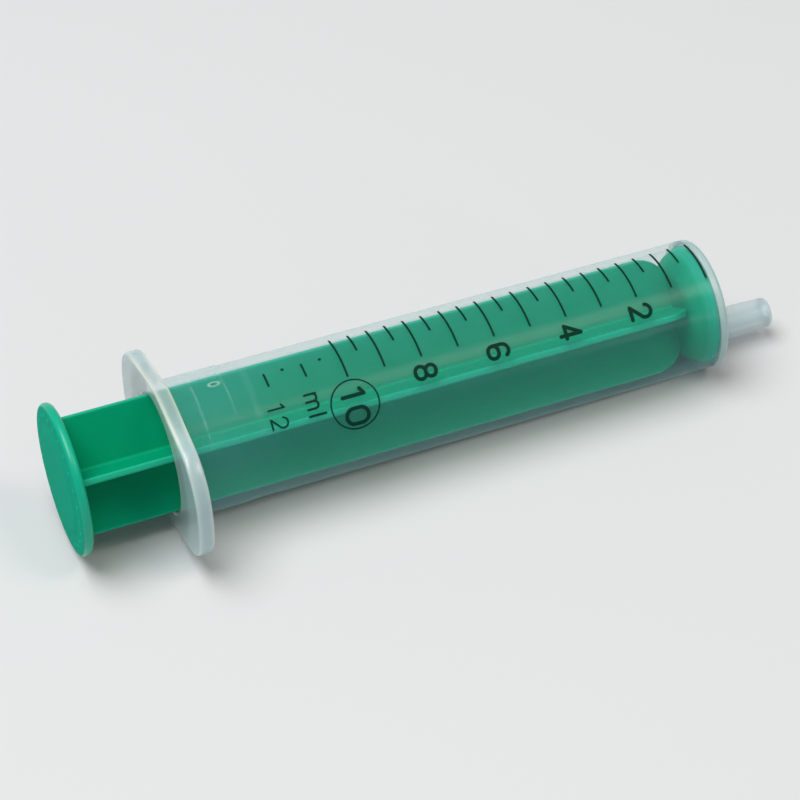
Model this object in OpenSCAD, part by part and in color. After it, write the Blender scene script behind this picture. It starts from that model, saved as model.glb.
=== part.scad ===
// Ten millilitre disposable syringe in two mouldings, with the plunger pushed fully home.
// X runs along the barrel's axis to the nozzle, Z is up, and the origin is on the axis
// in the front face of the finger flange. The flange's wings point along Y.
// Inside the modules a piece stands on its axis: z runs to the nozzle, and an angle is
// counted from the top of the barrel round to the side from which the scale is read.

/* [Barrel] */
// Inside diameter of the barrel
bore_d = 15.9; // [15.7:0.05:16.1]
// Thickness of the barrel's wall at the nozzle end
wall_front = 0.76; // [0.6:0.01:0.9]
// Thickness of the barrel's wall just in front of the collar
wall_rear = 0.94; // [0.7:0.01:1]
// Thickness of the collar's wall next to the flange
collar_wall = 1.05; // [1.02:0.01:1.6]
// Length of the collar, from the flange
collar_len = 7.8; // [7.4:0.1:12]
// Thickness of the front wall
front_wall = 0.77; // [0.7:0.01:2.5]
// Rounding of the front edge
front_round = 0.6; // [0.3:0.05:0.7]
// Height of the retaining beads inside the mouth
bead_h = 0.15; // [0.05:0.01:0.2]
// Width of a retaining bead
bead_w = 0.5; // [0.3:0.05:1]
// Distance from the flange to the rear bead
rear_bead_at = 2.9; // [1.5:0.1:4]
// Distance from the flange to the front bead
front_bead_at = 7; // [5:0.1:9]
// Depth of the lead-in chamfer at the mouth
mouth_chamfer = 0.3; // [0.1:0.05:0.6]

/* [Finger flange] */
// Thickness of the flange
flange_t = 2.05; // [1.4:0.05:3]
// Step from the collar out to the flange's waist
waist_step = 1.3; // [0.8:0.05:2.5]
// Reach of a wing past the flange's waist
wing_reach = 5.25; // [4:0.05:8]
// Rounding of the wings' corners
wing_corner_r = 7; // [2:0.1:8]
// Angle from a wing's middle to the centre of its corner
wing_corner_angle = 10.3; // [6:0.1:26]

/* [Nozzle] */
// Length of the nozzle in front of the front wall
nozzle_len = 10.1; // [7.5:0.05:11]
// Diameter at the small end of the nozzle
nozzle_tip_d = 4; // [3.9:0.01:4.1]
// Taper of the nozzle, as loss of diameter over length
nozzle_taper = 0.06; // [0.05:0.005:0.07]
// Distance of the nozzle's axis from the wall of the bore
nozzle_inset = 3.12; // [2.8:0.01:7.95]
// Diameter of the channel through the nozzle
channel_d = 2; // [1.2:0.1:2.4]
// Rounding at the tip of the nozzle
nozzle_tip_round = 0.45; // [0.1:0.05:0.6]
// Rounding at the root of the nozzle
nozzle_root_round = 0.4; // [0.1:0.05:0.5]

/* [Plunger] */
// Radial clearance of the rod's ribs in the bore
rib_gap = 0.2; // [0.2:0.05:1.2]
// Thickness of a rib
rib_t = 0.9; // [0.7:0.05:2]
// Rounding of the ribs' front ends
rib_round = 4.2; // [2:0.1:5]
// Depth to which the ribs' front ends run into the piston
rib_sink = 0.33; // [0.2:0.01:0.5]
// Angle of the first of the four ribs
rib_angle = 56.8; // [0:0.1:90]
// Radial clearance of the sealing lip in the barrel
seal_gap = 0.03; // [0.01:0.01:0.1]
// Length of the sealing lip
lip_len = 0.85; // [0.5:0.05:1.5]
// Step from the piston's shoulder up to the lip
lip_step = 0.17; // [0.13:0.01:0.3]
// Length of the piston's rounded shoulder
shoulder_len = 2.6; // [1.5:0.05:3.1]
// Radius of the piston's rounded shoulder
shoulder_r = 3.15; // [3.1:0.05:4]
// Bevel on the piston's front edge
lip_bevel = 0.15; // [0.05:0.05:0.3]
// Thickness of the flexible lip in front of its groove
lip_wall = 0.8; // [0.5:0.05:1.2]
// Width of the groove behind the lip
lip_groove_w = 0.9; // [0.5:0.05:1.5]
// Depth of the groove behind the lip
lip_groove_depth = 1.2; // [0.5:0.05:1.6]
// Clearance between the piston and the front wall
front_gap = 0.1; // [0.05:0.05:0.5]
// Gap between the flange and the thumb plate
thumb_gap = 11.85; // [6:0.05:25]

/* [Thumb plate] */
// Distance of the thumb plate's rim inside the flange's waist
plate_inset = 0.27; // [0:0.03:0.6]
// Thickness of the thumb plate at its rim
plate_t = 1.35; // [1.3:0.05:2.5]
// Rounding of the plate's rim
plate_round = 0.6; // [0.2:0.05:0.6]
// Distance of the raised disc inside the plate's rim
disc_inset = 2.43; // [2.1:0.03:5]
// Height of the raised disc and of the grip bumps
disc_h = 0.2; // [0.1:0.05:0.4]
// Distance of the grip bumps' circle inside the plate's rim
bump_inset = 1.53; // [1.3:0.03:1.6]
// Diameter of a grip bump
bump_d = 0.7; // [0.4:0.05:1]
// Number of grip bumps
bump_count = 24; // [8:1:32]

/* [Printed scale] */
// Length of barrel that holds one millilitre
ml_len = 5.036; // [4.9:0.002:5.2]
// Nominal capacity in millilitres
nominal_ml = 10; // [10]
// Millilitres that the scale shows past the nominal capacity
extra_ml = 2; // [2]
// Distance from the flange to the last mark
scale_clear = 12.2; // [10:0.1:20]
// Distance from the zero mark to the inside of the front wall
zero_gap = 0.82; // [0.6:0.02:1.5]
// Thickness of the ink
ink_t = 0.04; // [0.02:0.01:0.1]
// Width of a scale line
line_w = 0.28; // [0.15:0.01:0.5]
// Angle at which the scale lines start
line_start_angle = -16.3; // [-30:0.1:0]
// Angle at which a whole-millilitre line ends
long_end_angle = 29.4; // [20:0.1:32]
// Angle at which a half-millilitre line ends
half_end_angle = 7.1; // [0:0.1:15]
// Angle at which a dash past the nominal capacity starts
dash_start_angle = 5.5; // [0:0.1:10]
// Angle at which a dash past the nominal capacity ends
dash_end_angle = 19.4; // [12:0.1:30]
// Diameter of a dot past the nominal capacity
dot_d = 0.42; // [0.2:0.02:0.8]
// Angle of the dots
dot_angle = 6; // [0:0.1:15]
// Distance of the middle of a number behind its mark
figure_lag = 0.14; // [0:0.02:0.3]
// Height of a bold digit
digit_h = 3.25; // [2.6:0.05:4]
// Width of a bold digit
digit_w = 2.15; // [1.6:0.05:2.4]
// Stroke of a bold digit
digit_stroke = 0.5; // [0.3:0.02:0.5]
// Angle of the middle of the digits
digit_angle = 42.7; // [40:0.1:46]
// Height of the digits in the capacity ring
ten_h = 3.4; // [2.6:0.05:3.6]
// Width of the nought in the capacity ring
ten_w = 2.5; // [1.8:0.05:2.6]
// Angle of the one in the capacity ring
ten_one_angle = 45.7; // [43:0.1:47]
// Angle of the nought in the capacity ring
ten_nought_angle = 62.6; // [61:0.1:64]
// Radius of the middle of the capacity ring's line
ring_r = 3.18; // [3.1:0.02:3.6]
// Width of the capacity ring's line
ring_line_w = 0.2; // [0.1:0.02:0.3]
// Angle of the capacity ring's centre
ring_angle = 53; // [52:0.1:54]
// Height of the thin digits at the end of the scale
thin_h = 2.35; // [1.8:0.05:2.8]
// Width of a thin digit
thin_w = 1.55; // [1.2:0.05:1.8]
// Stroke of the thin digits
thin_stroke = 0.24; // [0.15:0.01:0.3]
// Angle of the one at the end of the scale
thin_one_angle = 39.6; // [38:0.1:42]
// Angle of the two at the end of the scale
thin_two_angle = 51.5; // [50:0.1:54]
// Height of the letter m
m_h = 1.78; // [1.4:0.02:2.2]
// Width of the letter m
m_w = 2.22; // [1.8:0.02:2.6]
// Height of the letter l
l_h = 2.45; // [2:0.05:3]
// Stroke of the letters
letter_stroke = 0.3; // [0.2:0.01:0.4]
// Angle of the middle of the letter m
m_angle = 41.3; // [40:0.1:43]
// Angle of the letter l
l_angle = 53.2; // [52:0.1:55]
// Length of the mould's oval mark on the collar
mould_mark_len = 1.5; // [1:0.1:2]
// Width of the mould's oval mark
mould_mark_w = 0.85; // [0.6:0.05:1]
// Width of the groove that draws the mould's mark
mould_groove_w = 0.16; // [0.1:0.02:0.24]
// Depth of the mould's mark
mould_mark_depth = 0.06; // [0.03:0.01:0.1]
// Distance of the mould's mark from the flange
mould_mark_at = 5.8; // [4.5:0.1:6.2]
// Angle of the mould's mark
mould_mark_angle = 2; // [-20:0.5:30]

/* [Hidden] */
$fn = 96;

// Steps in the wedge that bounds an arc
arc_steps = 6;
// Overrun of the cuts past the faces that they open
cut_over = 0.5;

// Shares and angles at which a digit's strokes turn, and the share of the stroke in its ends
cap_share = 0.96;
flag_share = 0.72;
flag_drop_share = 0.3;
two_neck_angle = -38;
two_tip_angle = 165;
four_stem_share = 0.5;
four_bar_share = 0.47;
bowl_share = 0.58;
eight_top_w_share = 0.92;
eight_low_share = 0.58;
six_tip_angle = 32;

// Places along the axis
last_ml = nominal_ml + extra_ml;
zero_at = scale_clear + last_ml * ml_len;
bore_end = zero_at + zero_gap;
barrel_end = bore_end + front_wall;
nozzle_end = barrel_end + nozzle_len;
piston_front = bore_end - front_gap;
lip_rear = piston_front - lip_len;
plate_front = -flange_t - thumb_gap;
plate_rear = plate_front - plate_t;

// Radii that the places and fits give
bore_r = bore_d / 2;
lip_r = bore_r - seal_gap;
rib_r = bore_r - rib_gap;
front_end_r = bore_r + wall_front;
rear_end_r = bore_r + wall_rear;
collar_r = bore_r + collar_wall;
waist_r = collar_r + waist_step;
plate_r = waist_r - plate_inset;
disc_r = plate_r - disc_inset;
bump_ring_r = plate_r - bump_inset;
nozzle_offset = bore_r - nozzle_inset;
bead_r = (pow(bead_w / 2, 2) + pow(bead_h, 2)) / (2 * bead_h);
piston_back = lip_rear - shoulder_len;
shoulder_mid_r = lip_r - lip_step - sqrt(pow(shoulder_r, 2) - pow(shoulder_r - shoulder_len, 2));

function barrel_r(z) =
    rear_end_r - (rear_end_r - front_end_r) * (z - collar_len) / (barrel_end - collar_len);
function nozzle_r(z) = (nozzle_tip_d + nozzle_taper * (nozzle_end - z)) / 2;
function ml_at(v) = zero_at - v * ml_len;
function figure_at(v) = ml_at(v) - figure_lag;
function polar(r, a) = [r * cos(a), r * sin(a)];

// Lays a piece that stands on its axis down along X
module lay_down() {
    rotate([0, 90, 0])
        rotate([0, 0, 180])
            children();
}

// Barrel: tube, front wall, finger flange and nozzle in one moulding
module wing_outline() {
    reach_r = waist_r + wing_reach;
    corner_at = reach_r - wing_corner_r;
    flank_angle = wing_corner_angle + acos((waist_r - wing_corner_r) / corner_at);
    corner = polar(corner_at, wing_corner_angle);
    tip = polar(2 * reach_r, wing_corner_angle);
    circle(r = waist_r);
    intersection() {
        circle(r = reach_r);
        union() {
            polygon([[0, 0], tip, [tip[0], -tip[1]]]);
            polygon([[0, 0], -tip, [-tip[0], tip[1]]]);
        }
    }
    for (sx = [0, 1], sy = [0, 1])
        mirror([sx, 0])
            mirror([0, sy]) {
                translate(corner)
                    circle(r = wing_corner_r);
                polygon([
                    [0, 0],
                    corner,
                    corner + polar(wing_corner_r, flank_angle),
                    polar(waist_r, flank_angle)
                ]);
            }
}

module flange() {
    translate([0, 0, -flange_t])
        linear_extrude(flange_t)
            rotate(90)
                wing_outline();
}

module barrel_outside() {
    round_at = barrel_end - front_round;
    front_r = barrel_r(round_at);
    rotate_extrude() {
        polygon([
            [0, -flange_t],
            [collar_r, -flange_t],
            [collar_r, collar_len],
            [rear_end_r, collar_len],
            [front_r, round_at],
            [front_r - front_round, round_at],
            [front_r - front_round, barrel_end],
            [0, barrel_end]
        ]);
        intersection() {
            translate([front_r - front_round, round_at])
                circle(r = front_round);
            translate([front_r - front_round, round_at])
                square(front_round);
        }
    }
}

module bore() {
    mouth_r = bore_r + mouth_chamfer;
    rotate_extrude()
        difference() {
            polygon([
                [0, -flange_t - cut_over],
                [mouth_r, -flange_t - cut_over],
                [mouth_r, -flange_t],
                [bore_r, -flange_t + mouth_chamfer],
                [bore_r, bore_end],
                [0, bore_end]
            ]);
            for (z = [rear_bead_at, front_bead_at])
                translate([bore_r - bead_h + bead_r, z])
                    circle(r = bead_r);
        }
}

module nozzle() {
    root_at = barrel_end + nozzle_root_round;
    tip_at = nozzle_end - nozzle_tip_round;
    foot_r = nozzle_r(root_at) + nozzle_root_round;
    tip_r = nozzle_r(tip_at) - nozzle_tip_round;
    translate([-nozzle_offset, 0, 0])
        rotate_extrude() {
            difference() {
                polygon([
                    [0, bore_end],
                    [foot_r, bore_end],
                    [foot_r, root_at],
                    [nozzle_r(root_at), root_at],
                    [nozzle_r(tip_at), tip_at],
                    [tip_r, tip_at],
                    [tip_r, nozzle_end],
                    [0, nozzle_end]
                ]);
                translate([foot_r, root_at])
                    circle(r = nozzle_root_round);
            }
            intersection() {
                translate([tip_r, tip_at])
                    circle(r = nozzle_tip_round);
                translate([tip_r, tip_at])
                    square(nozzle_tip_round);
            }
        }
}

module channel() {
    translate([-nozzle_offset, 0, bore_end - cut_over])
        cylinder(d = channel_d, h = front_wall + nozzle_len + 2 * cut_over);
}

module mould_mark() {
    rotate([0, 0, mould_mark_angle])
        translate([collar_r - mould_mark_depth, 0, mould_mark_at])
            rotate([90, 0, 90])
                linear_extrude(cut_over)
                    loop(mould_mark_w, mould_mark_len, mould_groove_w);
}

module barrel() {
    color("#c9dbe0", 0.45)
        lay_down()
            difference() {
                union() {
                    barrel_outside();
                    flange();
                    nozzle();
                }
                bore();
                channel();
                mould_mark();
            }
}

// Plunger: thumb plate, cross-shaped rod and piston in one moulding
module rib_outline() {
    corner_r = rib_r - rib_round;
    rib_front = piston_back + rib_sink;
    corner_at = rib_front - rib_round;
    translate([-rib_r, plate_rear])
        square([2 * rib_r, corner_at - plate_rear]);
    translate([-corner_r, plate_rear])
        square([2 * corner_r, rib_front - plate_rear]);
    for (side = [-1, 1])
        translate([side * corner_r, corner_at])
            circle(r = rib_round);
}

module rod() {
    for (turn = [0, 90])
        rotate([90, 0, rib_angle + turn])
            linear_extrude(rib_t, center = true)
                rib_outline();
}

module piston() {
    rotate_extrude() {
        translate([0, piston_back])
            square([shoulder_mid_r, shoulder_len]);
        intersection() {
            translate([shoulder_mid_r, piston_back + shoulder_r])
                circle(r = shoulder_r);
            translate([shoulder_mid_r, piston_back])
                square([shoulder_r, shoulder_len]);
        }
        polygon([
            [0, lip_rear],
            [lip_r, lip_rear],
            [lip_r, piston_front - lip_bevel],
            [lip_r - lip_bevel, piston_front],
            [0, piston_front]
        ]);
    }
}

module lip_groove() {
    groove_out = lip_r - lip_wall;
    translate([0, 0, piston_front - lip_groove_depth])
        difference() {
            cylinder(r = groove_out, h = lip_groove_depth + cut_over);
            translate([0, 0, -cut_over])
                cylinder(r = groove_out - lip_groove_w, h = lip_groove_depth + 3 * cut_over);
        }
}

module thumb_plate() {
    flat_r = plate_r - plate_round;
    rotate_extrude() {
        translate([0, plate_rear])
            square([flat_r, plate_t]);
        translate([0, plate_rear - disc_h])
            square([disc_r, disc_h + plate_round]);
        translate([flat_r, plate_rear + plate_round])
            square([plate_round, plate_t - 2 * plate_round]);
        for (z = [plate_rear + plate_round, plate_front - plate_round])
            translate([flat_r, z])
                circle(r = plate_round);
    }
    for (i = [0:bump_count - 1])
        rotate([0, 0, 360 * i / bump_count])
            translate([bump_ring_r, 0, plate_rear - disc_h])
                cylinder(d = bump_d, h = disc_h + plate_round);
}

module plunger() {
    color("#149a72")
        lay_down()
            difference() {
                union() {
                    thumb_plate();
                    rod();
                    piston();
                }
                lip_groove();
            }
}

// Printed marks: a film of ink on the tapered outside of the barrel
module ink_ring(z, w, a0, a1) {
    r0 = barrel_r(z - w / 2);
    r1 = barrel_r(z + w / 2);
    rotate([0, 0, a0])
        rotate_extrude(angle = a1 - a0)
            polygon([
                [r0, z - w / 2],
                [r0 + ink_t, z - w / 2],
                [r1 + ink_t, z + w / 2],
                [r1, z + w / 2]
            ]);
}

module ink_skin() {
    r0 = barrel_r(collar_len);
    r1 = barrel_r(zero_at);
    rotate_extrude()
        polygon([
            [r0, collar_len],
            [r0 + ink_t, collar_len],
            [r1 + ink_t, zero_at],
            [r1, zero_at]
        ]);
}

// Prints a flat glyph at a place on the barrel, with its top to the nozzle
module print_at(z, a, half_w) {
    low = sqrt(pow(bore_r, 2) - pow(half_w, 2)) - ink_t;
    intersection() {
        ink_skin();
        rotate([0, 0, a])
            translate([low, 0, z])
                rotate([90, 0, 90])
                    linear_extrude(collar_r - low)
                        children();
    }
}

module stroke(a, b, s) {
    translate(a)
        rotate(atan2(b[1] - a[1], b[0] - a[0]))
            translate([0, -s / 2])
                square([norm(b - a), s]);
}

module cap(p, s) {
    translate(p)
        circle(d = s * cap_share);
}

module arc_stroke(c, r, a0, a1, s) {
    reach = 2 * (r + s);
    wedge = [for (i = [0:arc_steps]) polar(reach, a0 + (a1 - a0) * i / arc_steps)];
    translate(c)
        intersection() {
            difference() {
                circle(r = r + s / 2);
                circle(r = r - s / 2);
            }
            polygon(concat([[0, 0]], wedge));
        }
}

module pill(w, h) {
    r = min(w, h) / 2;
    for (side = [-1, 1])
        translate([side * (w / 2 - r), side * (h / 2 - r)])
            circle(r = r);
    square([w > h ? w - 2 * r : w, w > h ? h : h - 2 * r], center = true);
}

module loop(w, h, s) {
    difference() {
        pill(w, h);
        pill(w - 2 * s, h - 2 * s);
    }
}

module one(w, h, s) {
    top = [0, (h - s) / 2];
    flag = [(s - w) / 2 * flag_share, top[1] * (1 - flag_drop_share)];
    stroke(-top, top, s);
    stroke(top, flag, s);
    for (p = [-top, top, flag])
        cap(p, s);
}

module two(w, h, s) {
    side = (w - s) / 2;
    foot = (s - h) / 2;
    bow = [0, -foot - side];
    neck = bow + polar(side, two_neck_angle);
    corner = [-side, foot];
    end = [side, foot];
    arc_stroke(bow, side, two_neck_angle, two_tip_angle, s);
    stroke(neck, corner, s);
    stroke(corner, end, s);
    for (p = [neck, corner, end, bow + polar(side, two_tip_angle)])
        cap(p, s);
}

module four(w, h, s) {
    side = (w - s) / 2;
    stem = side * four_stem_share;
    top = [stem, (h - s) / 2];
    foot = [stem, -top[1]];
    corner = [-side, foot[1] * four_bar_share];
    end = [side, corner[1]];
    stroke(foot, top, s);
    stroke(top, corner, s);
    stroke(corner, end, s);
    for (p = [foot, top, corner, end])
        cap(p, s);
}

module six(w, h, s) {
    side = (w - s) / 2;
    bowl_at = h * (bowl_share - 1) / 2;
    bow = [0, (h - s) / 2 - side];
    translate([0, bowl_at])
        loop(w, h * bowl_share, s);
    stroke([-side, bowl_at], [-side, bow[1]], s);
    arc_stroke(bow, side, six_tip_angle, 180, s);
    cap(bow + polar(side, six_tip_angle), s);
}

module eight(w, h, s) {
    low_h = h * eight_low_share;
    top_h = h - low_h + s;
    translate([0, (low_h - h) / 2])
        loop(w, low_h, s);
    translate([0, (h - top_h) / 2])
        loop(w * eight_top_w_share, top_h, s);
}

module letter_m(w, h, s) {
    side = (w - s) / 2;
    bow_r = side / 2;
    foot = (s - h) / 2;
    shoulder = -foot - bow_r;
    for (x = [-side, 0, side]) {
        stroke([x, foot], [x, shoulder], s);
        cap([x, foot], s);
    }
    stroke([-side, shoulder], [-side, -foot], s);
    cap([-side, -foot], s);
    for (x = [-bow_r, bow_r])
        arc_stroke([x, shoulder], bow_r, 0, 180, s);
}

module letter_l(h, s) {
    foot = [0, (s - h) / 2];
    stroke(foot, -foot, s);
    cap(foot, s);
    cap(-foot, s);
}

module ink() {
    color("#10231d")
        lay_down()
            children();
}

module long_lines() {
    ink()
        for (v = [0:nominal_ml])
            ink_ring(ml_at(v), line_w, line_start_angle, long_end_angle);
}

module half_lines() {
    ink()
        for (v = [1:nominal_ml])
            ink_ring(ml_at(v - 1 / 2), line_w, line_start_angle, half_end_angle);
}

module extension_dashes() {
    ink()
        for (v = [nominal_ml + 1:last_ml])
            ink_ring(ml_at(v), line_w, dash_start_angle, dash_end_angle);
}

module extension_dots() {
    ink()
        for (v = [nominal_ml + 1:last_ml])
            print_at(ml_at(v - 1 / 2), dot_angle, dot_d)
                circle(d = dot_d);
}

module number_2() {
    ink()
        print_at(figure_at(2), digit_angle, digit_w)
            two(digit_w, digit_h, digit_stroke);
}

module number_4() {
    ink()
        print_at(figure_at(4), digit_angle, digit_w)
            four(digit_w, digit_h, digit_stroke);
}

module number_6() {
    ink()
        print_at(figure_at(6), digit_angle, digit_w)
            six(digit_w, digit_h, digit_stroke);
}

module number_8() {
    ink()
        print_at(figure_at(8), digit_angle, digit_w)
            eight(digit_w, digit_h, digit_stroke);
}

module number_10() {
    ink() {
        print_at(figure_at(nominal_ml), ten_one_angle, ten_w)
            one(ten_w, ten_h, digit_stroke);
        print_at(figure_at(nominal_ml), ten_nought_angle, ten_w)
            loop(ten_w, ten_h, digit_stroke);
    }
}

module capacity_ring() {
    ink()
        print_at(figure_at(nominal_ml), ring_angle, ring_r + ring_line_w)
            difference() {
                circle(r = ring_r + ring_line_w / 2);
                circle(r = ring_r - ring_line_w / 2);
            }
}

module number_12() {
    ink() {
        print_at(figure_at(last_ml), thin_one_angle, thin_w)
            one(thin_w, thin_h, thin_stroke);
        print_at(figure_at(last_ml), thin_two_angle, thin_w)
            two(thin_w, thin_h, thin_stroke);
    }
}

module unit_ml() {
    foot = figure_at(nominal_ml + 1) - l_h / 2;
    ink() {
        print_at(foot + m_h / 2, m_angle, m_w)
            letter_m(m_w, m_h, letter_stroke);
        print_at(foot + l_h / 2, l_angle, m_w)
            letter_l(l_h, letter_stroke);
    }
}

barrel();
plunger();
long_lines();
half_lines();
extension_dashes();
extension_dots();
number_2();
number_4();
number_6();
number_8();
number_10();
capacity_ring();
number_12();
unit_ml();
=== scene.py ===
import math
import bpy
import bmesh
from mathutils import Matrix, Vector


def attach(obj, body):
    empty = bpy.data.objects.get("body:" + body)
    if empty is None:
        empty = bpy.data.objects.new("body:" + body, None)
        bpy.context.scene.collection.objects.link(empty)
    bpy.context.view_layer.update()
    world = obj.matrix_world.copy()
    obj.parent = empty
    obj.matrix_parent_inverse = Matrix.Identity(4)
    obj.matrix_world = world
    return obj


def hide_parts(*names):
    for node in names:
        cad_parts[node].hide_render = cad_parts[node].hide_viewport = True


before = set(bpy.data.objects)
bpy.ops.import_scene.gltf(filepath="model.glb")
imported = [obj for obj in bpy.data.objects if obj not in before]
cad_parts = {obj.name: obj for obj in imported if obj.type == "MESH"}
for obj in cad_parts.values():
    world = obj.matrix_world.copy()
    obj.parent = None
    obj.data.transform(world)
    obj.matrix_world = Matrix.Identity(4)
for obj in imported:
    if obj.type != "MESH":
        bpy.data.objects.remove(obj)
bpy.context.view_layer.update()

mm = 0.001
print("frame loaded:", sorted(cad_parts))


class Wire:  # a socket that can stand in a sum
    def __init__(self, made, socket):
        self.made = made
        self.socket = socket

    def __add__(self, other):
        return self.made.maths("ADD", self, other)

    def __radd__(self, other):
        return self.made.maths("ADD", other, self)

    def __sub__(self, other):
        return self.made.maths("SUBTRACT", self, other)

    def __rsub__(self, other):
        return self.made.maths("SUBTRACT", other, self)

    def __mul__(self, other):
        return self.made.maths("MULTIPLY", self, other)

    def __rmul__(self, other):
        return self.made.maths("MULTIPLY", other, self)


class Finish:  # one material and its nodes
    def __init__(self, name):
        self.material = bpy.data.materials.new(name)
        self.material.use_nodes = True
        self.tree = self.material.node_tree
        self.tree.nodes.clear()

    def add(self, kind, settings=None, sockets=None, out=0):
        node = self.tree.nodes.new(kind)
        for key, value in (settings or {}).items():
            setattr(node, key, value)
        for key, value in (sockets or {}).items():
            if isinstance(value, Wire):
                self.tree.links.new(value.socket, node.inputs[key])
            else:
                node.inputs[key].default_value = value
        return Wire(self, node.outputs[out]) if node.outputs else None

    def maths(self, operation, first, second):
        return self.add("ShaderNodeMath", {"operation": operation}, {0: first, 1: second})

    def absolute(self, value):
        return self.maths("ABSOLUTE", value, 0.0)

    def place(self):  # where a point of the surface is, in metres
        return self.add("ShaderNodeTexCoord", out="Object")

    def placeInMm(self):
        sockets = {0: self.place(), "Scale": 1 / mm}
        return self.add("ShaderNodeVectorMath", {"operation": "SCALE"}, sockets)

    def axisValue(self, vector, axis):
        return self.add("ShaderNodeSeparateXYZ", None, {0: vector}, axis)

    def length(self, vector):
        return self.add("ShaderNodeVectorMath", {"operation": "LENGTH"}, {0: vector}, "Value")

    def fromAxis(self, vector):  # how far a point lies from the X axis
        sideways = {0: vector, 1: (0, 1, 1)}
        return self.length(self.add("ShaderNodeVectorMath", {"operation": "MULTIPLY"}, sideways))

    def noise(self, scale, detail, stretch=(1, 1, 1)):
        where = self.add("ShaderNodeMapping", None, {"Vector": self.place(), "Scale": stretch})
        return self.add("ShaderNodeTexNoise", None, {"Vector": where, "Scale": scale, "Detail": detail})

    def blendColour(self, share, first, second):
        return self.add("ShaderNodeMix", {"data_type": "RGBA"}, {0: share, 6: first, 7: second}, 2)

    def ease(self, value, low, high):  # from 0 at low to 1 at high
        sockets = {"Value": value, "From Min": low, "From Max": high}
        return self.add("ShaderNodeMapRange", {"interpolation_type": "SMOOTHSTEP"}, sockets)

    def close(self, value, middle, inner, outer):  # 1 near the middle, 0 away from it
        return 1 - self.ease(self.absolute(value - middle), inner, outer)

    def bump(self, height, distance):
        return self.add("ShaderNodeBump", None, {"Height": height, "Distance": distance})

    def finish(self, shader):
        self.add("ShaderNodeOutputMaterial", None, {"Surface": shader})
        return self.material


# In the looks, places and spans are in millimetres unless a note says otherwise, and depths in metres.
# A noise is its scale, detail and stretch. A band is its middle, how far out it is full and where it ends.
greenLook = {
    "deep": (0.0, 0.262, 0.122, 1),
    "bright": (0.001, 0.315, 0.16, 1),
    "gloss": (0.4, 1.0, 0.88, 1),
    "roughness": 0.42,
    "roughnessSpread": 0.1,
    "flow": (55, 2, (0.25, 1, 1)),  # faint streaks along the moulding's flow
    "patches": (260, 3),
    "grain": (3200, 2),
    "grainShare": 0.7,
    "grainDepth": 0.000012,
    # Painted highlight: the piston's sealing ring is painted a lighter green where light catches it.
    "lip": (0.05, 0.60, 0.41, 1),
    "lipSpan": (72.4, 72.75),
    # Painted highlight: the ribs' outer edges are painted a lighter green.
    "ribTipHighlight": (0.02, 0.40, 0.26, 1),
    "ribTipHighlightSpan": (7.3, 7.7),
    "ribTipHighlightShare": 0.7,
    # Painted sheen: the whole thumb plate is painted a lighter, bluer green than the rod.
    "plate": (0.0, 0.375, 0.23, 1),
    "plateSpan": (-13.9, -13.8),
    "faceSpan": (-15.2, -15.1),
    "faceRoughness": 0.4,
    "rimSpan": (9.3, 9.7),
    "rimCoat": 0.6,
    # Painted highlight: the thumb plate's small bumps are painted a paler green.
    "bump": (0.02, 0.46, 0.30, 1),
    "bumpBand": (8.5, 0.3, 0.42),
    "bumpSpan": (-15.32, -15.27),
}


def greenPlastic():
    look = greenLook
    made = Finish("greenPolyethylene")
    patches = made.noise(*look["patches"])
    grain = made.noise(*look["grain"])
    height = grain * look["grainShare"] + patches * (1 - look["grainShare"])
    place = made.placeInMm()
    alongX = made.axisValue(place, "X")
    fromAxis = made.fromAxis(place)
    onPlate = 1 - made.ease(alongX, *look["plateSpan"])
    onFace = 1 - made.ease(alongX, *look["faceSpan"])  # the thumb plate's matt face
    onRim = made.ease(fromAxis, *look["rimSpan"]) * (1 - onFace) * onPlate
    ribTipHighlightMask = made.ease(fromAxis, *look["ribTipHighlightSpan"]) * (1 - onPlate)
    # Where the bumps get their painted highlight.
    bumpHighlightMask = made.close(fromAxis, *look["bumpBand"]) * (1 - made.ease(alongX, *look["bumpSpan"]))
    tone = made.blendColour(made.noise(*look["flow"]), look["deep"], look["bright"])
    # Painted highlight on the piston's sealing ring.
    tone = made.blendColour(made.ease(alongX, *look["lipSpan"]), tone, look["lip"])
    # Painted highlight along the ribs' outer edges.
    tone = made.blendColour(ribTipHighlightMask * look["ribTipHighlightShare"], tone, look["ribTipHighlight"])
    # Painted sheen on the thumb plate.
    tone = made.blendColour(onPlate, tone, look["plate"])
    roughness = look["roughness"] + look["roughnessSpread"] * (patches - 0.5)
    return made.finish(made.add("ShaderNodeBsdfPrincipled", None, {
        "Base Color": made.blendColour(bumpHighlightMask, tone, look["bump"]),
        "Roughness": roughness + look["faceRoughness"] * onFace,
        "Normal": made.bump(height, look["grainDepth"]),
        "IOR": 1.5,
        "Specular IOR Level": 0.07,
        "Specular Tint": look["gloss"],
        "Subsurface Weight": 0.12,
        "Subsurface Radius": (0.3, 1.0, 0.6),
        "Subsurface Scale": 0.0012,
        "Coat Weight": look["rimCoat"] * onRim,
        "Coat Roughness": 0.3,
    }))


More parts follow.
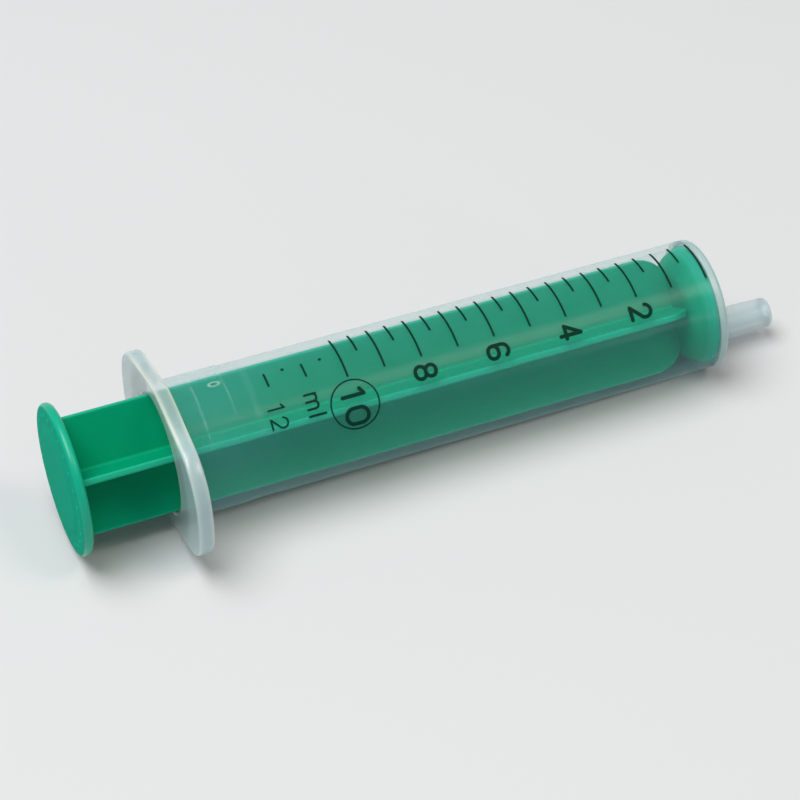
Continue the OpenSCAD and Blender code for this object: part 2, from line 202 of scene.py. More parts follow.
barrelLook = {  # milk is how much the plastic hides what is behind it
    "thick": (0.52, 0.66, 0.69, 1),
    "thickShade": (0.45, 0.59, 0.63, 1),
    "thin": (0.15, 0.57, 0.61, 1),
    "turned": (0.42, 0.70, 0.78, 1),
    "rim": (0.36, 0.54, 0.54, 1),
    "mark": (0.52, 0.72, 0.66, 1),
    "roughness": 0.26,
    "roughnessSpread": 0.06,
    "rimRoughness": 0.18,
    "grain": (2600, 2),
    "grainDepth": 0.000002,
    "cloud": (420, 3),
    "cloudMilk": 0.04,
    "wallMilk": 0.105,
    "silhouetteMilk": 0.46,
    "silhouetteBlend": 0.35,
    "silhouettePower": 2.6,
    "leastMilk": 0.03,
    "mostMilk": 0.97,
    "boreShare": 0.35,
    "boreSpan": (8.0, 8.2),
    "mouthMilk": 0.05,
    "mouthSpan": (3, 16),
    "flangeMilk": 0.3,
    "flangeSpan": (-0.1, 0.5),
    "flangeHalf": 1.025,
    "wingMilk": 0.33,
    "wingSpan": (10.0, 12.5),
    "rimMilk": 0.72,
    "rimSpan": (72.85, 73.1),
    "rimFarLoss": 0.5,
    "rimFarSpan": (5.4, 7.0),
    "frontSpan": (73.55, 73.95),
    "discMilk": 0.26,
    "discSpan": (6.9, 8.2),
    "nozzleMilk": 0.34,
    "nozzleSpan": (74.32, 75.12),
    "tipMilk": 0.3,
    "tipSpan": (83.57, 83.97),
    "glow": (0.84, 0.90, 0.73, 1),  # painted glow: warm light painted along the flange's edges
    "glowMilk": 0.26,
    "glowSoftShare": 0.75,
    "glowSoftSpan": (0.2, 1.025),
    "glowTurnSpan": (0.75, 0.97),  # 0 faces away from the axis and 1 along it
    "glowLineShare": 0.2,
    "glowLineBand": (0.62, 0.1, 0.38),  # likewise
    "glowWingLoss": 0.75,
    "glowWingSpan": (10.6, 13.5),
    "scuffMilk": 0.12,
    "scuffs": (1500, 1, (0.06, 1, 1)),
    "scuffSpan": (0.7, 0.78),  # of the noise's value
    "scuffPatches": (130, 1),
    "scuffPatchSpan": (0.5, 0.62),  # likewise
    # A ring is its place, strength and reach along X, then the heights between which it fades in towards the
    # top, which is painted light.
    "rings": ((2.9, 0.2, 0.24, 3.2, 7.6), (7.0, 0.2, 0.24, 6.8, 8.6), (9.9, 0.08, 0.8, 3.2, 6.2)),
    "ringCore": 0.04,
    "ringPale": 3.0,
    "ringSideSpan": (4.6, 5.8),
    "ringNoise": (700, 1),
    "markX": 5.8,
    "markY": -0.31,
    "markHalfX": 0.72,
    "markHalfY": 0.42,
    "markBand": (0.9, 0.1, 0.5),  # 1 is the oval's full size
    "markTopSpan": (8.6, 8.8),
    "markMilk": 0.02,
    "markNoiseMilk": 0.42,
    "markNoise": (1800, 1),
    "markDepth": 6.0,  # as a multiple of the grain's
}


def naturalPlastic():
    look = barrelLook
    made = Finish("naturalPolypropylene")
    place = made.placeInMm()
    alongX = made.axisValue(place, "X")
    across = made.axisValue(place, "Y")
    height = made.axisValue(place, "Z")
    fromAxis = made.fromAxis(place)
    turned = made.absolute(made.axisValue(made.add("ShaderNodeTexCoord", out="Normal"), "X"))
    cloud = made.noise(*look["cloud"])

    flangeZone = 1 - made.ease(alongX, *look["flangeSpan"])
    frontZone = made.ease(alongX, *look["frontSpan"])
    nozzleZone = made.ease(alongX, *look["nozzleSpan"])
    boreZone = 1 - made.ease(fromAxis, *look["boreSpan"])
    farSide = made.ease(across, *look["rimFarSpan"]) * (1 - frontZone)
    rimZone = made.ease(alongX, *look["rimSpan"]) * (1 - look["rimFarLoss"] * farSide)
    disc = (1 - made.ease(fromAxis, *look["discSpan"])) * frontZone * (1 - nozzleZone)

    # Painted glow: warm light painted into the flange's edges, in colour and milk.
    softGlow = made.ease(made.absolute(alongX + look["flangeHalf"]), *look["glowSoftSpan"])
    softGlow = softGlow * (1 - made.ease(turned, *look["glowTurnSpan"]))
    lineGlow = made.close(turned, *look["glowLineBand"])
    wingLoss = look["glowWingLoss"] * made.ease(fromAxis, *look["glowWingSpan"])
    outside = made.maths("MAXIMUM", 1 - boreZone, nozzleZone)
    glow = look["glowLineShare"] * lineGlow + look["glowSoftShare"] * softGlow
    glow = glow * flangeZone * outside * (1 - wingLoss)

    facing = made.add("ShaderNodeLayerWeight", None, {"Blend": look["silhouetteBlend"]}, "Facing")
    away = made.maths("POWER", facing, look["silhouettePower"])  # the thin wall looks denser at its outline
    wing = look["wingMilk"] * made.ease(fromAxis, *look["wingSpan"])
    milk = look["wallMilk"] + (look["silhouetteMilk"] - look["wallMilk"]) * away
    milk = milk + flangeZone * (look["flangeMilk"] - look["wallMilk"] + wing)
    milk = milk + look["mouthMilk"] * (1 - made.ease(alongX, *look["mouthSpan"]))
    milk = milk + rimZone * (look["rimMilk"] - look["wallMilk"])
    milk = milk + nozzleZone * (look["nozzleMilk"] - look["rimMilk"])
    milk = milk + disc * (look["discMilk"] - look["rimMilk"])
    milk = milk + look["tipMilk"] * made.ease(alongX, *look["tipSpan"])
    milk = milk + look["glowMilk"] * glow + look["cloudMilk"] * (cloud - 0.5)

    scuffs = made.ease(made.noise(*look["scuffs"]), *look["scuffSpan"])  # fine handling marks along the tube
    scuffs = scuffs * made.ease(made.noise(*look["scuffPatches"]), *look["scuffPatchSpan"])
    milk = milk + look["scuffMilk"] * scuffs
    ringSide = 1 - made.ease(across, *look["ringSideSpan"])
    pale = 0.0
    for spot, strength, end, low, high in look["rings"]:  # faint rings left by the mould near the mouth, made stronger towards the top as painted light
        ring = made.close(alongX, spot, look["ringCore"], end) * ringSide * made.ease(height, low, high)
        ring = ring * made.noise(*look["ringNoise"])
        pale = pale + look["ringPale"] * strength * ring
        milk = milk + strength * ring
    inner = boreZone * (1 - flangeZone) * (1 - frontZone)
    milk = milk * (1 - inner * (1 - look["boreShare"]))

    fromMark = made.add("ShaderNodeMapping", None, {
        "Vector": place,
        "Location": (-look["markX"] / look["markHalfX"], -look["markY"] / look["markHalfY"], 0),
        "Scale": (1 / look["markHalfX"], 1 / look["markHalfY"], 0),
    })
    mark = made.close(made.length(fromMark), *look["markBand"]) * made.ease(height, *look["markTopSpan"])
    milk = milk + mark * (look["markMilk"] + look["markNoiseMilk"] * made.noise(*look["markNoise"]))
    pale = made.maths("MINIMUM", pale + mark, 1.0)

    wall = made.blendColour(away, look["thin"], look["turned"])
    wall = made.blendColour(pale, wall, look["mark"])
    body = made.blendColour(cloud, look["thick"], look["thickShade"])
    body = made.blendColour(rimZone * (1 - nozzleZone), body, look["rim"])
    body = made.blendColour(made.maths("MAXIMUM", flangeZone, rimZone), wall, body)
    roughness = look["roughness"] + look["roughnessSpread"] * (cloud - 0.5)
    limits = {"Value": milk, "Min": look["leastMilk"], "Max": look["mostMilk"]}
    return made.finish(made.add("ShaderNodeBsdfPrincipled", None, {
        "Base Color": made.blendColour(glow, body, look["glow"]),
        "Roughness": roughness + look["rimRoughness"] * rimZone,
        "Normal": made.bump(made.noise(*look["grain"]) - mark * look["markDepth"], look["grainDepth"]),
        "Alpha": made.add("ShaderNodeClamp", None, limits),
        "IOR": 1.49,
        "Specular IOR Level": 0.9,
        "Subsurface Weight": 0.75,
        "Subsurface Radius": (1.0, 1.0, 1.0),
        "Subsurface Scale": 0.002,
        "Coat Weight": 0.25,
        "Coat Roughness": 0.12,
    }))


inkLook = {
    "dense": (0.0, 0.014, 0.009, 1),
    "thin": (0.002, 0.045, 0.030, 1),
    "coverage": (5200, 3),
    "depth": 0.000004,
    "roughness": 0.6,
    "roughnessSpread": 0.15,
}


def printedInk():
    look = inkLook
    made = Finish("printedInk")
    coverage = made.noise(*look["coverage"])
    return made.finish(made.add("ShaderNodeBsdfPrincipled", None, {
        "Base Color": made.blendColour(coverage, look["dense"], look["thin"]),
        "Roughness": look["roughness"] + look["roughnessSpread"] * (coverage - 0.5),
        "Normal": made.bump(coverage, look["depth"]),
        "Specular IOR Level": 0.08,
    }))


naturalFinish = naturalPlastic()
greenFinish = greenPlastic()
inkFinish = printedInk()
print("materials made")


# A point round the barrel's axis. Its turn is counted from the top towards the printed side.
def onAxis(x, reach, turn, drop=0.0):
    return Vector((x * mm, -reach * math.sin(turn) * mm, (reach * math.cos(turn) - drop) * mm))


# Draws a loop of edges out. Each new corner takes over the note of the corner it came from.
def extrudeLoop(mesh, edges, notes):
    made = bmesh.ops.extrude_edge_only(mesh, edges=edges)["geom"]
    fresh = {item for item in made if isinstance(item, bmesh.types.BMVert)}
    carried = {}
    for vert, note in notes.items():
        for edge in vert.link_edges:
            other = edge.other_vert(vert)
            if other in fresh:
                carried[other] = note
    made = [item for item in made if isinstance(item, bmesh.types.BMEdge)]
    return [edge for edge in made if all(vert in carried for vert in edge.verts)], carried


class RingSkin:  # a skin that grows ring by ring along the axis
    def __init__(self, mesh, segments, x, reach):
        self.mesh = mesh
        upright = Matrix.Rotation(math.pi / 2, 4, "Y")
        made = bmesh.ops.create_circle(mesh, cap_ends=False, segments=segments, radius=1.0, matrix=upright)
        self.turns = {vert: math.atan2(-vert.co.y, vert.co.z) for vert in made["verts"]}
        self.edges = list(dict.fromkeys(edge for vert in made["verts"] for edge in vert.link_edges))
        self.shape(x, reach, 0.0)

    def shape(self, x, reach, drop):
        for vert, turn in self.turns.items():
            vert.co = onAxis(x, reach(turn) if callable(reach) else reach, turn, drop)

    def grow(self, x, reach, drop=0.0):
        self.edges, self.turns = extrudeLoop(self.mesh, self.edges, self.turns)
        self.shape(x, reach, drop)
        return self.edges

    def closeOn(self, edges):
        bmesh.ops.bridge_loops(self.mesh, edges=self.edges + edges)

    def cap(self):
        bmesh.ops.contextual_create(self.mesh, geom=self.edges)


def roundOff(mesh, parts, radius, segments, affect="EDGES"):
    alive = [part for part in parts if part.is_valid]
    bmesh.ops.bevel(mesh, geom=alive, offset=radius * mm, segments=segments, affect=affect,
                    profile=0.5, material=-1)


def join(mesh, part):
    data = bpy.data.meshes.new("part")
    part.to_mesh(data)
    part.free()
    mesh.from_mesh(data)
    bpy.data.meshes.remove(data)


pieceMaking = {"mergeGap": 0.000002, "creaseAngle": 38}  # metres and degrees


def makePiece(name, mesh, body, nodes, finish):
    bmesh.ops.remove_doubles(mesh, verts=mesh.verts, dist=pieceMaking["mergeGap"])
    bmesh.ops.recalc_face_normals(mesh, faces=mesh.faces)
    for face in mesh.faces:
        face.smooth = True
    data = bpy.data.meshes.new(name)
    mesh.to_mesh(data)
    mesh.free()
    data.set_sharp_from_angle(angle=math.radians(pieceMaking["creaseAngle"]))
    data.materials.append(finish)
    piece = bpy.data.objects.new(name, data)
    bpy.context.scene.collection.objects.link(piece)
    evened = piece.modifiers.new("evenShading", "WEIGHTED_NORMAL")
    evened.keep_sharp = True
    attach(piece, body)
    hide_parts(*nodes)
    print("made", name, len(data.polygons), "faces")


# In the sizes, lengths are in millimetres and angles in degrees. A rounding is its radius and segments.
barrelSize = {
    "segments": 288,
    "boreR": 7.95, "boreEnd": 73.452, "boreRounding": (0.08, 2),
    "mouthChamfer": 0.3, "mouthRounding": (0.08, 2),
    "beads": (2.9, 7.0), "beadHalf": 0.25, "beadHeight": 0.1,
    "beadSteps": (-1, -0.7, -0.35, 0, 0.35, 0.7, 1),
    "collarR": 9.0, "collarEnd": 7.8, "collarRounding": (0.25, 3), "stepRounding": (0.045, 2),
    "rearR": 8.89, "frontR": 8.71, "frontFace": 74.222, "frontRounding": (0.6, 7),
    "flangeBack": -2.05, "waistR": 10.3, "flangeRounding": (0.42, 5),
    "wingReach": 15.55, "wingCornerR": 7.0, "wingCornerAngle": 10.3,
    "nozzleDrop": 4.83, "nozzleTip": 84.322, "nozzleTipR": 2.0, "nozzleRootR": 2.303,
    "tipRounding": (0.45, 6), "rootRounding": (0.4, 4),
    "channelR": 1.0, "channelRounding": (0.15, 3),
}


def wallRadius(x):  # the drafted outside of the barrel
    b = barrelSize
    return b["rearR"] - (b["rearR"] - b["frontR"]) * (x - b["collarEnd"]) / (b["frontFace"] - b["collarEnd"])


def wingReach(turn):  # the flange's outline: wing tip, round corner, straight flank, waist
    b = barrelSize
    away = abs(math.asin(max(-1.0, min(1.0, math.cos(turn)))))  # angle from the wing's middle line
    corner = math.radians(b["wingCornerAngle"])
    cornerR = b["wingCornerR"]
    cornerAt = b["wingReach"] - cornerR
    flank = corner + math.acos((b["waistR"] - cornerR) / cornerAt)
    tangentY = cornerAt * math.sin(corner) + cornerR * math.sin(flank)
    tangentX = cornerAt * math.cos(corner) + cornerR * math.cos(flank)
    if away <= corner:
        return b["wingReach"]
    if away <= math.atan2(tangentY, tangentX):
        side = away - corner
        return cornerAt * math.cos(side) + math.sqrt(cornerR ** 2 - (cornerAt * math.sin(side)) ** 2)
    if away < flank:
        return b["waistR"] / math.cos(flank - away)
    return b["waistR"]


def barrelMoulding():
    b = barrelSize
    mesh = bmesh.new()
    skin = RingSkin(mesh, b["segments"], 0, b["collarR"])
    collarFoot = skin.edges
    flangeEdge = skin.grow(0, wingReach) + skin.grow(b["flangeBack"], wingReach)
    mouthOut = skin.grow(b["flangeBack"], b["boreR"] + b["mouthChamfer"])
    mouthIn = skin.grow(b["flangeBack"] + b["mouthChamfer"], b["boreR"])
    for bead in b["beads"]:
        for step in b["beadSteps"]:
            skin.grow(bead + step * b["beadHalf"], b["boreR"] - b["beadHeight"] * (1 - step * step))
    boreCorner = skin.grow(b["boreEnd"], b["boreR"])
    channelIn = skin.grow(b["boreEnd"], b["channelR"], b["nozzleDrop"])
    channelOut = skin.grow(b["nozzleTip"], b["channelR"], b["nozzleDrop"])
    tipEdge = skin.grow(b["nozzleTip"], b["nozzleTipR"], b["nozzleDrop"])
    rootEdge = skin.grow(b["frontFace"], b["nozzleRootR"], b["nozzleDrop"])
    frontEdge = skin.grow(b["frontFace"], wallRadius(b["frontFace"]))
    stepIn = skin.grow(b["collarEnd"], b["rearR"])
    stepOut = skin.grow(b["collarEnd"], b["collarR"])
    skin.closeOn(collarFoot)
    roundOff(mesh, frontEdge, *b["frontRounding"])
    roundOff(mesh, flangeEdge, *b["flangeRounding"])
    roundOff(mesh, rootEdge, *b["rootRounding"])
    roundOff(mesh, tipEdge, *b["tipRounding"])
    roundOff(mesh, channelOut + channelIn, *b["channelRounding"])
    roundOff(mesh, collarFoot, *b["collarRounding"])
    roundOff(mesh, mouthOut + mouthIn, *b["mouthRounding"])
    roundOff(mesh, boreCorner, *b["boreRounding"])
    roundOff(mesh, stepOut + stepIn, *b["stepRounding"])
    makePiece("barrelMoulding", mesh, "barrel", ["barrel"], naturalFinish)


barrelMoulding()


plungerSize = {
    "segments": 240,
    "plateBack": -15.25, "plateFront": -13.9, "plateR": 10.03, "plateRounding": (0.6, 6),
    "discBack": -15.45, "discR": 7.6, "discFall": 1.6, "discSteps": 8,
    "bumps": 24, "bumpRing": 8.5, "bumpR": 0.34, "bumpHigh": 0.1, "bumpSegments": 16, "bumpRings": 10,
    "ribReach": 7.75, "ribThick": 0.9, "ribTurn": 56.8, "ribRoot": 0.3,
    "rootRounding": (0.45, 4), "ribRounding": (0.28, 5), "ribEdgeZone": 0.5,
    "ribFront": 70.23, "ribRound": 4.2, "ribRoundLast": 84, "ribRoundStep": 6,
    "pistonBack": 69.902, "shoulderR": 3.15, "shoulderMid": 4.648, "shoulderSteps": 12,
    "lipBack": 72.502, "lipR": 7.92, "lipFront": 73.352, "lipWall": 0.8,
    "lipSlope": 0.17, "lipChamfer": 0.15, "lipRounding": (0.06, 2),
    "groove": 0.9, "grooveDepth": 1.2,
}


def thumbPlate(mesh):
    p = plungerSize
    discTop = p["discR"] - p["discFall"]
    rise = p["plateBack"] - p["discBack"]
    skin = RingSkin(mesh, p["segments"], p["discBack"], discTop)
    skin.cap()
    for step in range(1, p["discSteps"] + 1):  # the disc falls off softly to the rim
        share = step / p["discSteps"]
        skin.grow(p["discBack"] + rise * share * share * (3 - 2 * share), discTop + p["discFall"] * share)
    rim = skin.grow(p["plateBack"], p["plateR"]) + skin.grow(p["plateFront"], p["plateR"])
    skin.cap()
    roundOff(mesh, rim, *p["plateRounding"])
    flat = Matrix.Diagonal((p["bumpHigh"] / p["bumpR"], 1, 1, 1))
    for number in range(p["bumps"]):
        seat = Matrix.Translation(onAxis(p["plateBack"], p["bumpRing"], 2 * math.pi * number / p["bumps"]))
        bmesh.ops.create_uvsphere(mesh, u_segments=p["bumpSegments"], v_segments=p["bumpRings"],
                                  radius=p["bumpR"] * mm, matrix=seat @ flat)


def ribReachAt(x):  # the ribs' front ends are round
    p = plungerSize
    past = x - (p["ribFront"] - p["ribRound"])
    if past <= 0:
        return p["ribReach"]
    return p["ribReach"] - p["ribRound"] + math.sqrt(max(0.0, p["ribRound"] ** 2 - past * past))


def outward(turn):  # the direction away from the axis
    return Vector((0, -math.sin(turn), math.cos(turn)))


def crossRod(mesh):
    p = plungerSize
    half = p["ribThick"] / 2
    quarter = math.pi / 2
    ribTurn = math.radians(p["ribTurn"])
    outline = []
    for number in range(4):
        along = outward(ribTurn + quarter * number)
        across = outward(ribTurn + quarter * (number + 1))
        for out, side in ((half, -half), (p["ribReach"], -half), (p["ribReach"], half)):
            outline.append(mesh.verts.new((along * out + across * side) * mm))
    for first, second in zip(outline, outline[1:] + outline[:1]):
        mesh.edges.new((first, second))
    roots = outline[::3]  # the corners where two ribs meet
    tips = [vert for vert in outline if vert not in roots]
    roundOff(mesh, roots, *p["rootRounding"], "VERTICES")
    roundOff(mesh, tips, *p["ribRounding"], "VERTICES")
    edges = list(mesh.edges)
    section = {vert: vert.co.copy() for vert in mesh.verts}
    roundFrom = p["ribFront"] - p["ribRound"]
    roundAngles = range(0, p["ribRoundLast"] + 1, p["ribRoundStep"])
    back = p["plateFront"] - p["ribRoot"]
    for vert in section:
        vert.co.x = back * mm
    bmesh.ops.contextual_create(mesh, geom=edges)
    for x in [roundFrom + p["ribRound"] * math.sin(math.radians(angle)) for angle in roundAngles]:
        edges, section = extrudeLoop(mesh, edges, section)
        inward = (ribReachAt(x) - p["ribReach"]) * mm
        for vert, flat in section.items():
            spot = Vector((0, flat.y, flat.z))
            if spot.length > (p["ribReach"] - p["ribEdgeZone"]) * mm:  # only the ribs' edges draw in
                number = round((math.atan2(-spot.y, spot.z) - ribTurn) / quarter)
                spot += outward(ribTurn + quarter * number) * inward
            vert.co = Vector((x * mm, spot.y, spot.z))
    bmesh.ops.contextual_create(mesh, geom=edges)


def piston(mesh):
    p = plungerSize
    skin = RingSkin(mesh, p["segments"], p["pistonBack"], p["shoulderMid"])
    skin.cap()
    centreX = p["pistonBack"] + p["shoulderR"]
    firstAngle = -math.pi / 2
    sweep = math.asin((p["lipBack"] - centreX) / p["shoulderR"]) - firstAngle
    for step in range(1, p["shoulderSteps"] + 1):
        angle = firstAngle + sweep * step / p["shoulderSteps"]
        x = centreX + p["shoulderR"] * math.sin(angle)
        skin.grow(x, p["shoulderMid"] + p["shoulderR"] * math.cos(angle))
    lipFoot = skin.grow(p["lipBack"] + p["lipSlope"], p["lipR"])
    skin.grow(p["lipFront"] - p["lipChamfer"], p["lipR"])
    skin.grow(p["lipFront"], p["lipR"] - p["lipChamfer"])
    grooveOut = p["lipR"] - p["lipWall"]
    skin.grow(p["lipFront"], grooveOut)
    skin.grow(p["lipFront"] - p["grooveDepth"], grooveOut)
    skin.grow(p["lipFront"] - p["grooveDepth"], grooveOut - p["groove"])
    skin.grow(p["lipFront"], grooveOut - p["groove"])
    skin.cap()
    roundOff(mesh, lipFoot, *p["lipRounding"])


def plungerMoulding():
    mesh = bmesh.new()
    thumbPlate(mesh)
    for build in (crossRod, piston):
        part = bmesh.new()
        build(part)
        join(mesh, part)
    makePiece("plungerMoulding", mesh, "plunger", ["plunger"], greenFinish)


plungerMoulding()


# Turns, and the starts, ends and steps of lines, are in degrees round the barrel from the top.
# A figure's middle lies behind the mark that it belongs to, by the lag.
printSize = {
    "capacity": 10, "zeroMark": 72.632, "perMl": 5.036, "film": 0.03, "sink": 0.01,
    "lineWidth": 0.28, "lineStart": -16.3, "longEnd": 29.4, "halfEnd": 7.1, "lineStep": 1.5,
    "dashes": (11, 12), "dashStart": 5.5, "dashEnd": 19.4,
    "dots": (10.5, 11.5), "dot": 0.42, "dotTurn": 6.0,
    "figureLag": 0.14, "digitHeight": 3.25, "digitWidth": 2.15, "digitStroke": 0.5, "digitTurn": 42.7,
    "tenHeight": 3.4, "tenWidth": 2.5, "tenOneTurn": 45.7, "tenNoughtTurn": 62.6,
    "ringR": 3.18, "ringStroke": 0.2, "ringTurn": 53.0,
    "thinNumber": 12, "thinHeight": 2.35, "thinWidth": 1.55, "thinStroke": 0.24,
    "thinOneTurn": 39.6, "thinTwoTurn": 51.5,
    "unitAt": 11, "mHeight": 1.78, "mWidth": 2.22, "lHeight": 2.45, "letterStroke": 0.3,
    "mTurn": 41.3, "lTurn": 53.2,
    "strokeStep": 0.25, "bowStep": 7, "capSegments": 24, "weldGap": 0.0001,
}

glyphShape = {  # shares of a glyph's width and height, and angles on its bows in degrees
    "oneFlagOut": 0.72, "oneFlagUp": 0.7, "twoNeck": -38, "twoTip": 165,
    "fourStem": 0.5, "fourBar": -0.47, "lowBowl": 0.58, "highBowl": 0.92, "sixTip": 32,
}


def markAt(volume):
    return printSize["zeroMark"] - volume * printSize["perMl"]


def figureAt(volume):
    return markAt(volume) - printSize["figureLag"]


def lineMark(mesh, volume, start, end):
    s = printSize
    corners = []
    for side, high in ((-1, -s["sink"]), (1, -s["sink"]), (1, s["film"]), (-1, s["film"])):
        edgeX = markAt(volume) + side * s["lineWidth"] / 2
        corners.append(mesh.verts.new(onAxis(edgeX, wallRadius(edgeX) + high, math.radians(start))))
    face = mesh.faces.new(corners)
    bmesh.ops.spin(mesh, geom=[face] + list(face.edges) + corners, cent=(0, 0, 0), axis=(1, 0, 0),
                   angle=math.radians(end - start), steps=max(2, round((end - start) / s["lineStep"])),
                   use_merge=False)


def onBow(centre, radius, degrees):
    angle = math.radians(degrees)
    return centre[0] + radius * math.cos(angle), centre[1] + radius * math.sin(angle)


class Lettering:  # flat strokes, drawn in millimetres and then laid on the barrel
    def __init__(self, stroke):
        self.mesh = bmesh.new()
        self.width = stroke

    def put(self, made, centre, angle=0.0, size=(1, 1)):
        spot = Matrix.Translation((centre[0], centre[1], 0))
        matrix = spot @ Matrix.Rotation(angle, 4, "Z") @ Matrix.Diagonal((size[0], size[1], 1, 1))
        bmesh.ops.transform(self.mesh, matrix=matrix, verts=made)

    def line(self, start, end):
        run = Vector(end) - Vector(start)
        steps = max(2, math.ceil(run.length / printSize["strokeStep"]))
        made = bmesh.ops.create_grid(self.mesh, x_segments=steps, y_segments=2, size=0.5)
        centre = (Vector(end) + Vector(start)) / 2
        self.put(made["verts"], centre, math.atan2(run.y, run.x), (run.length, self.width))

    def cap(self, *spots):  # round ends of strokes
        for spot in spots:
            made = bmesh.ops.create_circle(self.mesh, cap_ends=True, segments=printSize["capSegments"],
                                           radius=self.width / 2)
            self.put(made["verts"], spot)

    def bow(self, centre, radius, start, end):
        before = set(self.mesh.verts)
        ends = [onBow((0, 0), radius + side * self.width / 2, start) for side in (-1, 0, 1)]
        verts = [self.mesh.verts.new((u, v, 0)) for u, v in ends]
        edges = [self.mesh.edges.new(pair) for pair in zip(verts, verts[1:])]
        steps = max(3, math.ceil(abs(end - start) / printSize["bowStep"]))
        bmesh.ops.spin(self.mesh, geom=edges, cent=(0, 0, 0), axis=(0, 0, 1),
                       angle=math.radians(end - start), steps=steps, use_merge=end - start == 360)
        self.put([vert for vert in self.mesh.verts if vert not in before], centre)

    def reach(self, width, height):  # from a glyph's middle to the middle of its outer strokes
        return (width - self.width) / 2, (height - self.width) / 2

    def loop(self, width, height, v=0.0):  # a closed round or oval stroke
        side, top = self.reach(width, height)
        if top >= side:
            self.bow((0, v + top - side), side, 0, 180)
            self.bow((0, v - top + side), side, 180, 360)
            if top > side:
                self.line((-side, v - top + side), (-side, v + top - side))
                self.line((side, v - top + side), (side, v + top - side))
        else:
            self.bow((side - top, v), top, -90, 90)
            self.bow((top - side, v), top, 90, 270)
            self.line((top - side, v + top), (side - top, v + top))
            self.line((top - side, v - top), (side - top, v - top))

    def one(self, width, height):
        side, top = self.reach(width, height)
        flag = (-side * glyphShape["oneFlagOut"], top * glyphShape["oneFlagUp"])
        self.line((0, -top), (0, top))
        self.line((0, top), flag)
        self.cap((0, -top), (0, top), flag)

    def two(self, width, height):
        side, top = self.reach(width, height)
        centre = (0, top - side)
        neck = onBow(centre, side, glyphShape["twoNeck"])
        self.bow(centre, side, glyphShape["twoNeck"], glyphShape["twoTip"])
        self.line(neck, (-side, -top))
        self.line((-side, -top), (side, -top))
        self.cap(neck, onBow(centre, side, glyphShape["twoTip"]), (-side, -top), (side, -top))

    def four(self, width, height):
        side, top = self.reach(width, height)
        stem, bar = side * glyphShape["fourStem"], top * glyphShape["fourBar"]
        self.line((stem, -top), (stem, top))
        self.line((stem, top), (-side, bar))
        self.line((-side, bar), (side, bar))
        self.cap((stem, -top), (stem, top), (-side, bar), (side, bar))

    def six(self, width, height):
        side, top = self.reach(width, height)
        bowl = height * glyphShape["lowBowl"]
        low = (bowl - height) / 2
        centre = (0, top - side)
        self.loop(width, bowl, low)
        self.line((-side, low), (-side, top - side))
        self.bow(centre, side, glyphShape["sixTip"], 180)
        self.cap(onBow(centre, side, glyphShape["sixTip"]))

    def eight(self, width, height):
        low = height * glyphShape["lowBowl"]
        high = height - low + self.width
        self.loop(width, low, (low - height) / 2)
        self.loop(width * glyphShape["highBowl"], high, (height - high) / 2)

    def letterM(self, width, height):
        side, top = self.reach(width, height)
        shoulder = top - side / 2
        for u in (-side, 0, side):
            self.line((u, -top), (u, shoulder))
            self.cap((u, -top))
        self.line((-side, shoulder), (-side, top))
        self.cap((-side, top))
        self.bow((-side / 2, shoulder), side / 2, 0, 180)
        self.bow((side / 2, shoulder), side / 2, 0, 180)

    def letterL(self, height):
        top = (height - self.width) / 2
        self.line((0, -top), (0, top))
        self.cap((0, -top), (0, top))

    def layOn(self, x, turn):  # thickens what is drawn and wraps it round the barrel
        s = printSize
        bmesh.ops.remove_doubles(self.mesh, verts=self.mesh.verts, dist=s["weldGap"])
        skins = bmesh.ops.extrude_face_region(self.mesh, geom=list(self.mesh.faces))["geom"]
        upper = {item for item in skins if isinstance(item, bmesh.types.BMVert)}
        for vert in self.mesh.verts:
            high = s["film"] if vert in upper else -s["sink"]
            placeX = x + vert.co.y
            radius = wallRadius(placeX)
            vert.co = onAxis(placeX, radius + high, math.radians(turn) + vert.co.x / radius)
        return self.mesh


def drawn(stroke, x, turn, glyph, *sizes):
    lettering = Lettering(stroke)
    glyph(lettering, *sizes)
    return lettering.layOn(x, turn)


def printMark(name, node, meshes):
    whole = meshes[0]
    for other in meshes[1:]:
        join(whole, other)
    makePiece(name, whole, "barrel", [node], inkFinish)


def printLines(name, node, volumes, start, end):
    mesh = bmesh.new()
    for volume in volumes:
        lineMark(mesh, volume, start, end)
    printMark(name, node, [mesh])


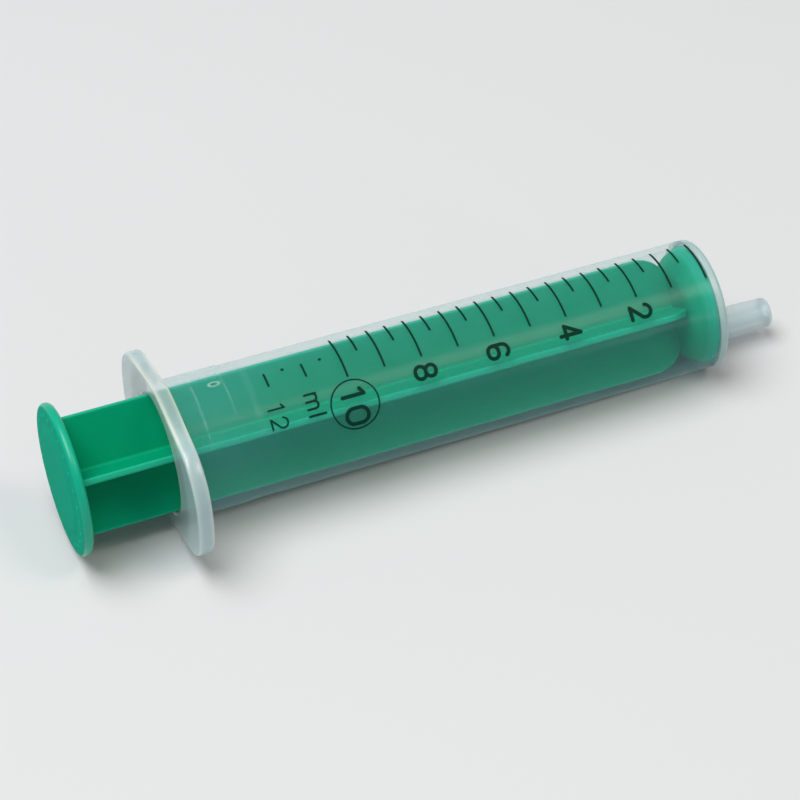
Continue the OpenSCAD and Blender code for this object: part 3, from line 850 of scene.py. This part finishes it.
def printScale():
    s = printSize
    halves = [volume + 0.5 for volume in range(s["capacity"])]
    printLines("longLines", "long_lines", range(s["capacity"] + 1), s["lineStart"], s["longEnd"])
    printLines("halfLines", "half_lines", halves, s["lineStart"], s["halfEnd"])
    printLines("extensionDashes", "extension_dashes", s["dashes"], s["dashStart"], s["dashEnd"])
    printMark("extensionDots", "extension_dots",
              [drawn(s["dot"], markAt(volume), s["dotTurn"], Lettering.cap, (0, 0)) for volume in s["dots"]])
    digit = (s["digitWidth"], s["digitHeight"])
    for number, glyph in ((2, Lettering.two), (4, Lettering.four), (6, Lettering.six), (8, Lettering.eight)):
        printMark("number" + str(number), "number_" + str(number),
                  [drawn(s["digitStroke"], figureAt(number), s["digitTurn"], glyph, *digit)])
    ten = (s["tenWidth"], s["tenHeight"])
    tenAt = figureAt(s["capacity"])
    printMark("number10", "number_10",
              [drawn(s["digitStroke"], tenAt, s["tenOneTurn"], Lettering.one, *ten),
               drawn(s["digitStroke"], tenAt, s["tenNoughtTurn"], Lettering.loop, *ten)])
    printMark("capacityRing", "capacity_ring",
              [drawn(s["ringStroke"], tenAt, s["ringTurn"], Lettering.bow, (0, 0), s["ringR"], 0, 360)])
    thin = (s["thinWidth"], s["thinHeight"])
    thinAt = figureAt(s["thinNumber"])
    printMark("number12", "number_12",
              [drawn(s["thinStroke"], thinAt, s["thinOneTurn"], Lettering.one, *thin),
               drawn(s["thinStroke"], thinAt, s["thinTwoTurn"], Lettering.two, *thin)])
    stroke = s["letterStroke"]
    foot = figureAt(s["unitAt"]) - s["lHeight"] / 2
    letterM = (s["mWidth"], s["mHeight"])
    printMark("unitMl", "unit_ml",
              [drawn(stroke, foot + s["mHeight"] / 2, s["mTurn"], Lettering.letterM, *letterM),
               drawn(stroke, foot + s["lHeight"] / 2, s["lTurn"], Lettering.letterL, s["lHeight"])])


printScale()


stageLook = {
    "floorColour": (0.60, 0.62, 0.64, 1),
    "floorHalf": 3.0,  # metres
    "floorRest": -10.3,  # millimetres, under the flange
    "floorTilt": 1.25,  # degrees, up towards the nozzle
    "worldColour": (0.93, 0.96, 1.0, 1),
    "worldStrength": 0.28,
}

# A lamp is its place, the spot it points at and its two widths in metres, then its watts and its colour.
lamps = {
    "overheadLight": ((-0.25, 0.02, 0.95), (0.03, 0, 0), (0.9, 0.7), 10.6, (1.0, 0.985, 0.96)),
    "warmPanel": ((0.47, -0.48, 1.0), (0.03, 0, 0), (0.4, 0.4), 2.7, (1.0, 0.87, 0.72)),
    "frontStrip": ((0.5, -0.95, 0.24), (0.05, 0, 0), (0.24, 0.14), 0.5, (1.0, 0.9, 0.78)),
}

view = {  # millimetres, and degrees about X, Y and Z
    "lens": 133.74,
    "sensor": 36,
    "nearest": 10,
    "place": (-72.969, -278.515, 246.409),
    "turn": (50.0504, 1.7166, -21.87),
}


def floorFinish():
    made = Finish("paleFloor")
    return made.finish(made.add("ShaderNodeBsdfPrincipled", None, {
        "Base Color": stageLook["floorColour"], "Roughness": 0.6, "Specular IOR Level": 0.25,
    }))


def stageFloor():  # the flange and the barrel's front rim stand on it
    look = stageLook
    lowered = Matrix.Translation((0, 0, look["floorRest"] * mm))
    tilted = Matrix.Rotation(math.radians(-look["floorTilt"]), 4, "Y")
    mesh = bmesh.new()
    bmesh.ops.create_grid(mesh, x_segments=2, y_segments=2, size=look["floorHalf"], matrix=lowered @ tilted)
    data = bpy.data.meshes.new("floor")
    mesh.to_mesh(data)
    mesh.free()
    data.materials.append(floorFinish())
    floor = bpy.data.objects.new("floor", data)
    bpy.context.scene.collection.objects.link(floor)


def softLamp(name, spot, aim, size, power, colour):
    data = bpy.data.lights.new(name, "AREA")
    data.shape = "ELLIPSE"
    data.size, data.size_y = size
    data.energy = power
    data.color = colour
    lamp = bpy.data.objects.new(name, data)
    lamp.location = spot
    lamp.rotation_euler = (Vector(aim) - Vector(spot)).to_track_quat("-Z", "Y").to_euler()
    bpy.context.scene.collection.objects.link(lamp)


def photoCamera():
    data = bpy.data.cameras.new("photoCamera")
    data.lens = view["lens"]
    data.sensor_width = view["sensor"]
    data.clip_start = view["nearest"] * mm
    camera = bpy.data.objects.new("photoCamera", data)
    camera.location = Vector(view["place"]) * mm
    camera.rotation_euler = [math.radians(angle) for angle in view["turn"]]
    bpy.context.scene.collection.objects.link(camera)
    bpy.context.scene.camera = camera


def paleWorld():
    world = bpy.data.worlds.new("paleRoom")
    world.use_nodes = True
    background = world.node_tree.nodes["Background"]
    background.inputs["Color"].default_value = stageLook["worldColour"]
    background.inputs["Strength"].default_value = stageLook["worldStrength"]
    bpy.context.scene.world = world


stageFloor()
for name, settings in lamps.items():
    softLamp(name, *settings)
photoCamera()
paleWorld()
bpy.context.scene.view_settings.view_transform = "Standard"
print("stage set")

bpy.context.view_layer.update()
